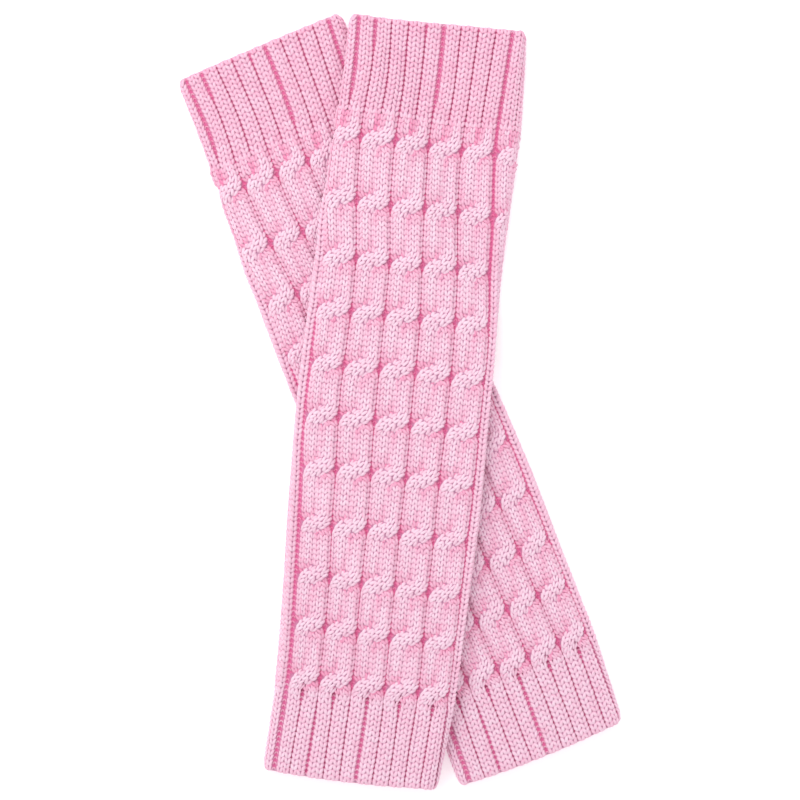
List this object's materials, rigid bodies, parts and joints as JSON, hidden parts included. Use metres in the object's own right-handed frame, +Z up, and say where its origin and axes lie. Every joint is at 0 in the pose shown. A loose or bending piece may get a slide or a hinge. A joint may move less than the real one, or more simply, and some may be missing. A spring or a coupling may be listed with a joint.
{
  "type": "pair of leg warmers",
  "caption": "Cable-knit leg warmers with ribbed cuffs, laid flat and crossed one over the other.",
  "frame": {"origin": "on the surface that the pair rests on, at the middle of the pair's plan", "axes": "+Z up from the surface, +Y towards the upper cuffs along the pair's longest way, +X to the right seen from above"},
  "size_m": [0.234, 0.4112, 0.0213],
  "materials": {
    "under_upper_cuff": "matt pale pink knitted yarn",
    "under_leg": "matt pale pink knitted yarn",
    "under_lower_cuff": "matt pale pink knitted yarn",
    "over_upper_cuff": "matt pale pink knitted yarn",
    "over_leg": "matt pale pink knitted yarn",
    "over_lower_cuff": "matt pale pink knitted yarn"
  },
  "bodies": {
    "root": {"under_upper_cuff": "under_upper_cuff", "under_leg": "under_leg", "under_lower_cuff": "under_lower_cuff", "over_upper_cuff": "over_upper_cuff", "over_leg": "over_leg", "over_lower_cuff": "over_lower_cuff"}
  },
  "joints": []
}
